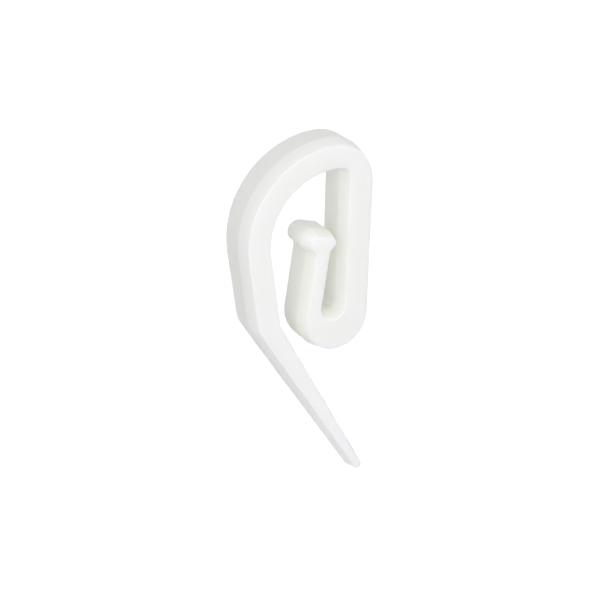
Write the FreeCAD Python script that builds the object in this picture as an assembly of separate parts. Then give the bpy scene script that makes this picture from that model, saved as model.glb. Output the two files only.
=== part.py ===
# Curtain hook, moulded in one piece: a wide loop, a straight leg, a curled spring tongue and a tapering tail.
# All lengths are in millimetres. The hook's outline lies in the XZ plane, +Z is up when it hangs and the
# flat front face looks along -Y. The origin is the middle of the seat under the crown of the loop.
import FreeCAD, Part
import math
import os

# Loop and arm
arch_radius = 8.78
arm_width = 2.85
arm_lean = 7.0
corner_radius = 0.5

# Leg, from the shoulder down to the curl
shoulder_radius = 4.2
leg_width = 3.0
leg_drop = 12.7
curl_radius = 3.48
curl_offset = 0.4
slot_floor = 3.7

# Spring tongue and its bulb
tongue_width = 2.0
head_left_radius = 1.02
head_right_radius = 0.82
head_spread = 1.45
head_overhang = 0.48
head_rise = 7.45
mouth_gap = 0.5
neck_radius = 0.6

# Tail, which passes the curl at the throat
throat_gap = 1.15
tail_lean = 30.7
tail_taper = 3.4
tail_length = 19.95
tip_radius = 0.71
outer_bend_radius = 2.7
inner_bend_radius = 2.1

# Depth: the side walls run straight back from the ridge, and lean in from the ridge to the front face
front_depth = 1.45
back_depth = 2.45
face_inset = 0.35
tip_back_depth = 0.3
tail_thinning_start = 3.0
thinning_blend = 12.0

# Small edges
face_edge_radius = 0.12
back_edge_radius = 0.2

# Levels along Y
depth = front_depth + back_depth
front_y = -depth / 2
ridge_y = front_y + front_depth
back_y = depth / 2


def unit(angle):
    """Unit vector (x, z) at an angle in degrees, measured from +X towards +Z."""
    return (math.cos(math.radians(angle)), math.sin(math.radians(angle)))


def along(point, direction, distance):
    return (point[0] + direction[0] * distance, point[1] + direction[1] * distance)


def dot(a, b):
    return a[0] * b[0] + a[1] * b[1]


def meet(normal_a, level_a, normal_b, level_b):
    """Point whose products with the two normals are the two levels."""
    det = normal_a[0] * normal_b[1] - normal_a[1] * normal_b[0]
    x = (level_a * normal_b[1] - level_b * normal_a[1]) / det
    z = (normal_a[0] * level_b - normal_b[0] * level_a) / det
    return (x, z)


def on_line_at_distance(normal, level, centre, distance, upper):
    """Point on a line (given by normal and level) at a distance from a centre: the upper or the lower one."""
    foot = along(centre, normal, level - dot(normal, centre))
    half = math.sqrt(distance ** 2 - (level - dot(normal, centre)) ** 2)
    ends = [along(foot, (-normal[1], normal[0]), half), along(foot, (normal[1], -normal[0]), half)]
    ends.sort(key=lambda end: end[1])
    return ends[1] if upper else ends[0]


def tangent_normal(first, second):
    """Angle of the outward normal of the tangent that runs clockwise from one circle to the next."""
    dx = second[0][0] - first[0][0]
    dz = second[0][1] - first[0][1]
    span = math.hypot(dx, dz)
    lean = max(-1.0, min(1.0, (first[1] - second[1]) / span))
    return math.degrees(math.atan2(dz, dx)) + math.degrees(math.acos(lean))


# Centres of the arch, the shoulder and the curl
inner_radius = arch_radius - arm_width
arch_centre = (0.0, -inner_radius)
shoulder_centre = (0.0, arm_width - shoulder_radius)
curl_centre = (curl_offset, shoulder_centre[1] - leg_drop)

# Leg: its outer edge touches shoulder and curl, its inner edge is parallel
leg_normal = unit(tangent_normal((shoulder_centre, shoulder_radius), (curl_centre, curl_radius)))
leg_inner = dot(leg_normal, shoulder_centre) + shoulder_radius - leg_width

# Bulb, set off from the leg by the mouth
head_z = curl_centre[1] + head_rise
head_level = leg_inner - mouth_gap - head_right_radius
head_right = ((head_level - leg_normal[1] * head_z) / leg_normal[0], head_z)

# Tongue: its outer edge touches the curl, and it leans until the bulb stands past its inner edge
head_side = curl_radius - tongue_width - head_overhang + head_right_radius
tongue_normal = unit(180 + tangent_normal((curl_centre, head_side), (head_right, 0.0)))
tongue_outer = dot(tongue_normal, curl_centre) - curl_radius
tongue_inner = tongue_outer + tongue_width
head_left = along(head_right, tongue_normal, -head_spread)
neck_left = on_line_at_distance(
    tongue_normal, tongue_outer - neck_radius, head_left, head_left_radius + neck_radius, False)
neck_right = on_line_at_distance(
    tongue_normal, tongue_inner + neck_radius, head_right, head_right_radius + neck_radius, False)

# Slot: a round end that touches the tongue and the leg above the floor of the curl
floor_z = curl_centre[1] - curl_radius + slot_floor
slot_side = (leg_inner - leg_normal[1] * floor_z, tongue_inner - tongue_normal[1] * floor_z)
slot_x, slot_radius = meet(
    (leg_normal[0], 1 + leg_normal[1]), slot_side[0],
    (tongue_normal[0], tongue_normal[1] - 1), slot_side[1])
slot_centre = (slot_x, floor_z + slot_radius)

# Window corner between the leg and the underside of the arch
corner_centre = on_line_at_distance(
    leg_normal, leg_inner - corner_radius, arch_centre, inner_radius - corner_radius, True)

# Tail: its inner edge clears the curl by the throat, and it narrows evenly to its round tip
tail_direction = unit(tail_lean - 90)
tail_normal = unit(180 + tail_lean)
tail_inner_normal = unit(tail_lean - tail_taper)
tail_inner = dot(tail_inner_normal, curl_centre) - curl_radius - throat_gap
tip_step = along(along((0.0, 0.0), tail_direction, tail_length), tail_normal, -tip_radius)

# Arm: its outer edge runs down from the arch to the bend, where the tail's outer edge starts
arm_normal = unit(180 + arm_lean)
bend_corner = meet(
    arm_normal, dot(arm_normal, arch_centre) + arch_radius,
    tail_inner_normal, tail_inner - tip_radius - dot(tail_inner_normal, tip_step))
tip_centre = along(bend_corner, tip_step, 1.0)
outer_bend = meet(
    arm_normal, dot(arm_normal, bend_corner) - outer_bend_radius,
    tail_normal, dot(tail_normal, bend_corner) - outer_bend_radius)
inner_bend = meet(
    arm_normal, dot(arm_normal, arch_centre) + inner_radius - inner_bend_radius,
    tail_inner_normal, tail_inner + inner_bend_radius)

# The outline, clockwise: circles joined by tangents, with a minus sign where the outline bends inwards
circles = [
    (arch_centre, arch_radius),
    (shoulder_centre, shoulder_radius),
    (curl_centre, curl_radius),
    (neck_left, -neck_radius),
    (head_left, head_left_radius),
    (head_right, head_right_radius),
    (neck_right, -neck_radius),
    (slot_centre, -slot_radius),
    (corner_centre, -corner_radius),
    (arch_centre, -inner_radius),
    (inner_bend, -inner_bend_radius),
    (tip_centre, tip_radius),
    (outer_bend, outer_bend_radius),
]


def outline(inset, y):
    """Closed wire of the hook's outline at a level y, drawn in by an inset on every side."""
    count = len(circles)
    normals = [tangent_normal(circles[i], circles[(i + 1) % count]) for i in range(count)]
    edges = []
    for i in range(count):
        centre, radius = circles[i]
        radius -= inset
        start = normals[i - 1]
        sweep = (start - normals[i]) % 360 if radius > 0 else (start - normals[i]) % 360 - 360
        points = [along(centre, unit(start - sweep * part), radius) for part in (0, 0.5, 1)]
        vectors = [FreeCAD.Vector(x, y, z) for x, z in points]
        following, next_radius = circles[(i + 1) % count]
        x, z = along(following, unit(normals[i]), next_radius - inset)
        edges.append(Part.Arc(*vectors).toShape())
        if vectors[2].distanceToPoint(FreeCAD.Vector(x, y, z)) > 1e-6:
            edges.append(Part.makeLine(vectors[2], FreeCAD.Vector(x, y, z)))
    return Part.Wire(edges)


def middle(edge):
    return edge.valueAt((edge.FirstParameter + edge.LastParameter) / 2)


def facing(face, point, side):
    """True where a face looks towards side * Y at a point on it."""
    return face.normalAt(*face.Surface.parameter(point)).y * side > 0.7


def rim(shape, side):
    """Edges between the face that looks towards side * Y and the side walls."""
    found = []
    for edge in shape.Edges:
        faces = shape.ancestorsOfType(edge, Part.Face)
        if [facing(face, middle(edge), side) for face in faces].count(True) == 1:
            found.append(edge)
    return found


# Body: straight walls behind the ridge, leaning walls in front of it
ridge = outline(0.0, ridge_y)
back_part = Part.Face(ridge).extrude(FreeCAD.Vector(0, back_depth, 0))
front_part = Part.makeLoft([ridge, outline(face_inset, front_y)], True, True)
hook = back_part.fuse(front_part).removeSplitter()

# The tail thins from behind, from just below the bend to the tip
fall = (back_depth - tip_back_depth) / (tail_length - tail_thinning_start)
thinned_width = 2 * tip_radius + (tail_length - tail_thinning_start) * math.tan(math.radians(tail_taper))
side_room = throat_gap / 2
reach = tail_length + 2 * tip_radius
across = FreeCAD.Vector(-tail_normal[0], 0, -tail_normal[1]) * (thinned_width + 2 * side_room)


def tail_point(distance, y):
    x, z = along(along(bend_corner, tail_direction, distance), tail_normal, side_room)
    return FreeCAD.Vector(x, y, z)


wedge_corners = [
    tail_point(tail_thinning_start, back_y),
    tail_point(reach, back_y - fall * (reach - tail_thinning_start)),
    tail_point(reach, back_y + depth),
    tail_point(tail_thinning_start, back_y + depth),
]
wedge_side = Part.Face(Part.makePolygon(wedge_corners + wedge_corners[:1]))
hook = hook.cut(wedge_side.extrude(across))

# Blend the start of the thinning, then round the edges of the back and of the front face
crease = [
    edge for edge in hook.Edges
    if all(facing(face, middle(edge), 1) for face in hook.ancestorsOfType(edge, Part.Face))
]
hook = hook.makeFillet(thinning_blend, crease)
hook = hook.makeFillet(back_edge_radius, rim(hook, 1))
hook = hook.makeFillet(face_edge_radius, rim(hook, -1))

os.makedirs("parts", exist_ok=True)
hook.exportStep("parts/curtain_hook.step")
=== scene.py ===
# Curtain hook: the finish of the white moulded nylon, soft studio light and the photograph's view.
# Sizes and places are in millimetres and become metres where they are used.
import math

import bpy
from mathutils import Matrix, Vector


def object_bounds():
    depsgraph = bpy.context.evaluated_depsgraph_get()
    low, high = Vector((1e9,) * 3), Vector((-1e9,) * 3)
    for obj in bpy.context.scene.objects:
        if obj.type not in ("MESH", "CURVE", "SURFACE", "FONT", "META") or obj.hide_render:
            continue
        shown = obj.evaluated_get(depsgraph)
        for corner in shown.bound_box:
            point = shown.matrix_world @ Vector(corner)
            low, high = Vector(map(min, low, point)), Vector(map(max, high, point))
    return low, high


MM = 0.001

# View: the photograph looks down on the front from the hook's left
view_azimuth = -28.5
view_elevation = 26.0
view_aim = Vector((-2.67, -0.5, -12.17))
view_distance = 126.1
view_lens = 84.0
view_sensor = 36.0
view_nearest = 1.0

# Nylon: milky white with a trace of yellow, and the depth that light reaches in it
nylon_colour = (0.93, 0.93, 0.855)
nylon_depth = 1.2
nylon_index = 1.53

# Unevenness of the nylon: clouds a little darker than the rest, patches of gloss and the mould's grain
cloud_size = 4.0
cloud_tone = 0.985
patch_size = 1.2
roughness_range = (0.55, 0.7)
grain_size = 0.12
grain_height = 0.01
grain_strength = 0.25

# Surround: bright and cool in front, warmer at the sides and dark behind, as for a hook on a table.
# Each stop has its place, from 0 straight in front to 1 straight behind, its level and its colour.
cool_white = (0.92, 0.92, 1.0)
warm_white = (0.945, 0.955, 0.955)
surround_stops = ((0.25, 0.96, cool_white), (0.5, 0.92, warm_white), (0.75, 0.18, warm_white))

# Lamps: a key from the upper left, a low one and one behind, each with its level, direction and width
lamp_distance = 260.0
lamps = {
    "key": (0.28, Vector((-0.42, -0.72, 0.55)), 200.0),
    "low": (0.15, Vector((-0.55, -0.5, -0.65)), 200.0),
    "back": (0.43, Vector((0.45, 0.85, -0.3)), 160.0),
}

# Floor: pale and matt, well below the hook, with a glow that lights nothing and makes it look white
floor_drop = 150.0
floor_size = 4000.0
floor_colour = (0.8, 0.8, 0.8, 1.0)
floor_roughness = 0.9
floor_glow = 0.6

white = (1.0, 1.0, 1.0, 1.0)

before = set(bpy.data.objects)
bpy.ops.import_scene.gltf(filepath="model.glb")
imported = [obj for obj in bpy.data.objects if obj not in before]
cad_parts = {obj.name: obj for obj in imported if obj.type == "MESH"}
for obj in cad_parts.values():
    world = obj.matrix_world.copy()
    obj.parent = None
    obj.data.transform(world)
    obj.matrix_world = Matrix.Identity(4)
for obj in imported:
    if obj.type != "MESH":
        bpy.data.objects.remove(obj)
cad_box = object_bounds()


def fresh_tree(owner):
    """Empty node tree of a material or a world."""
    owner.use_nodes = True
    owner.node_tree.nodes.clear()
    return owner.node_tree


def add(tree, kind, **settings):
    """New shader node; settings name its properties."""
    node = tree.nodes.new(kind)
    for name, value in settings.items():
        setattr(node, name, value)
    return node


def link(tree, source, output, target, inlet):
    """Joins an output of one node to an input of another, each given by its name or number."""
    tree.links.new(source.outputs[output], target.inputs[inlet])


def scaled(colour, level):
    """Opaque colour at a level."""
    return tuple(level * part for part in colour) + (1.0,)


def noise(tree, coordinates, feature, detail):
    """Noise whose features are about as many millimetres across as feature says."""
    node = add(tree, "ShaderNodeTexNoise")
    node.inputs["Scale"].default_value = 1 / (feature * MM)
    node.inputs["Detail"].default_value = detail
    link(tree, coordinates, "Object", node, "Vector")
    return node


def nylon():
    """Satin moulded nylon: cloudy tone, uneven gloss and a fine mould texture."""
    material = bpy.data.materials.new("nylon")
    tree = fresh_tree(material)
    coordinates = add(tree, "ShaderNodeTexCoord")
    shader = add(tree, "ShaderNodeBsdfPrincipled", subsurface_method="RANDOM_WALK")
    shader.inputs["Subsurface Weight"].default_value = 1.0
    shader.inputs["Subsurface Radius"].default_value = (1.0, 1.0, 1.0)
    shader.inputs["Subsurface Scale"].default_value = nylon_depth * MM
    shader.inputs["IOR"].default_value = nylon_index

    clouds = noise(tree, coordinates, cloud_size, 3.0)
    tone = add(tree, "ShaderNodeValToRGB")
    dark, light = tone.color_ramp.elements
    dark.position = 0.3
    dark.color = scaled(nylon_colour, cloud_tone)
    light.position = 0.7
    light.color = scaled(nylon_colour, 1.0)
    link(tree, clouds, "Fac", tone, "Fac")
    link(tree, tone, "Color", shader, "Base Color")

    patches = noise(tree, coordinates, patch_size, 4.0)
    gloss = add(tree, "ShaderNodeMapRange")
    gloss.inputs["To Min"].default_value = roughness_range[0]
    gloss.inputs["To Max"].default_value = roughness_range[1]
    link(tree, patches, "Fac", gloss, "Value")
    link(tree, gloss, "Result", shader, "Roughness")

    grain = noise(tree, coordinates, grain_size, 2.0)
    bump = add(tree, "ShaderNodeBump")
    bump.inputs["Strength"].default_value = grain_strength
    bump.inputs["Distance"].default_value = grain_height * MM
    link(tree, grain, "Fac", bump, "Height")
    link(tree, bump, "Normal", shader, "Normal")

    output = add(tree, "ShaderNodeOutputMaterial")
    link(tree, shader, "BSDF", output, "Surface")
    return material


def seen_rays(tree):
    """Node that is 1 for camera, reflected and transmitted rays, and 0 for rays that light."""
    path = add(tree, "ShaderNodeLightPath")
    mirrored = add(tree, "ShaderNodeMath", operation="MAXIMUM")
    link(tree, path, "Is Camera Ray", mirrored, 0)
    link(tree, path, "Is Glossy Ray", mirrored, 1)
    seen = add(tree, "ShaderNodeMath", operation="MAXIMUM")
    link(tree, mirrored, "Value", seen, 0)
    link(tree, path, "Is Transmission Ray", seen, 1)
    return seen


def surround():
    """White background, and soft light on the hook that changes from front to rear."""
    world = bpy.data.worlds.new("surround")
    bpy.context.scene.world = world
    tree = fresh_tree(world)
    direction = add(tree, "ShaderNodeTexCoord")
    axes = add(tree, "ShaderNodeSeparateXYZ")
    link(tree, direction, "Generated", axes, "Vector")
    depth = add(tree, "ShaderNodeMapRange")
    depth.inputs["From Min"].default_value = -1.0
    depth.inputs["From Max"].default_value = 1.0
    link(tree, axes, "Y", depth, "Value")

    ramp = add(tree, "ShaderNodeValToRGB")
    ramp.color_ramp.elements.new(0.5)
    for stop, (place, level, colour) in zip(ramp.color_ramp.elements, surround_stops):
        stop.position = place
        stop.color = scaled(colour, level)
    link(tree, depth, "Result", ramp, "Fac")

    glow = add(tree, "ShaderNodeBackground")
    link(tree, ramp, "Color", glow, "Color")
    backdrop = add(tree, "ShaderNodeBackground")
    backdrop.inputs["Color"].default_value = white
    mix = add(tree, "ShaderNodeMixShader")
    link(tree, seen_rays(tree), "Value", mix, 0)
    link(tree, glow, "Background", mix, 1)
    link(tree, backdrop, "Background", mix, 2)
    output = add(tree, "ShaderNodeOutputWorld")
    link(tree, mix, "Shader", output, "Surface")


def floor_finish():
    """Matt pale floor, with its glow for the rays that see it."""
    material = bpy.data.materials.new("floor")
    tree = fresh_tree(material)
    shader = add(tree, "ShaderNodeBsdfPrincipled")
    shader.inputs["Base Color"].default_value = floor_colour
    shader.inputs["Roughness"].default_value = floor_roughness
    shader.inputs["Emission Color"].default_value = white
    glow = add(tree, "ShaderNodeMath", operation="MULTIPLY")
    link(tree, seen_rays(tree), "Value", glow, 0)
    glow.inputs[1].default_value = floor_glow
    link(tree, glow, "Value", shader, "Emission Strength")
    output = add(tree, "ShaderNodeOutputMaterial")
    link(tree, shader, "BSDF", output, "Surface")
    return material


def floor():
    """Wide floor below the hanging hook, which takes the hook's shadow."""
    half = floor_size * MM / 2
    height = cad_box[0][2] - floor_drop * MM
    corners = [(x * half, y * half, height) for x, y in ((-1, -1), (1, -1), (1, 1), (-1, 1))]
    mesh = bpy.data.meshes.new("floor")
    mesh.from_pydata(corners, [], [(0, 1, 2, 3)])
    mesh.materials.append(floor_finish())
    obj = bpy.data.objects.new("floor", mesh)
    bpy.context.scene.collection.objects.link(obj)


def aim(obj, direction, distance):
    """Puts an object out from the middle of the view, with its -Z axis back at it and its Y axis up."""
    target = view_aim * MM
    obj.location = target + direction.normalized() * distance * MM
    obj.rotation_euler = (target - obj.location).to_track_quat("-Z", "Y").to_euler()


def lamp(name, level, direction, width):
    """Round soft lamp that lights a face turned towards it at the given level."""
    data = bpy.data.lights.new(name, "AREA")
    data.shape = "DISK"
    data.size = width * MM
    data.color = cool_white
    data.energy = level * (math.pi * lamp_distance * MM) ** 2
    obj = bpy.data.objects.new(name, data)
    bpy.context.scene.collection.objects.link(obj)
    aim(obj, direction, lamp_distance)
    obj.visible_camera = False


def camera():
    """Camera at the photograph's viewing angle."""
    data = bpy.data.cameras.new("view")
    data.lens = view_lens
    data.sensor_width = view_sensor
    data.clip_start = view_nearest * MM
    obj = bpy.data.objects.new("view", data)
    bpy.context.scene.collection.objects.link(obj)
    azimuth = math.radians(view_azimuth)
    elevation = math.radians(view_elevation)
    direction = Vector((
        math.sin(azimuth) * math.cos(elevation),
        -math.cos(azimuth) * math.cos(elevation),
        math.sin(elevation)))
    aim(obj, direction, view_distance)
    bpy.context.scene.camera = obj


def dress(obj, material):
    """Gives a node its finish."""
    obj.data.materials.clear()
    obj.data.materials.append(material)


dress(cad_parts["curtain_hook"], nylon())
surround()
floor()
for name, settings in lamps.items():
    lamp(name, *settings)
camera()
bpy.context.scene.view_settings.view_transform = "Standard"
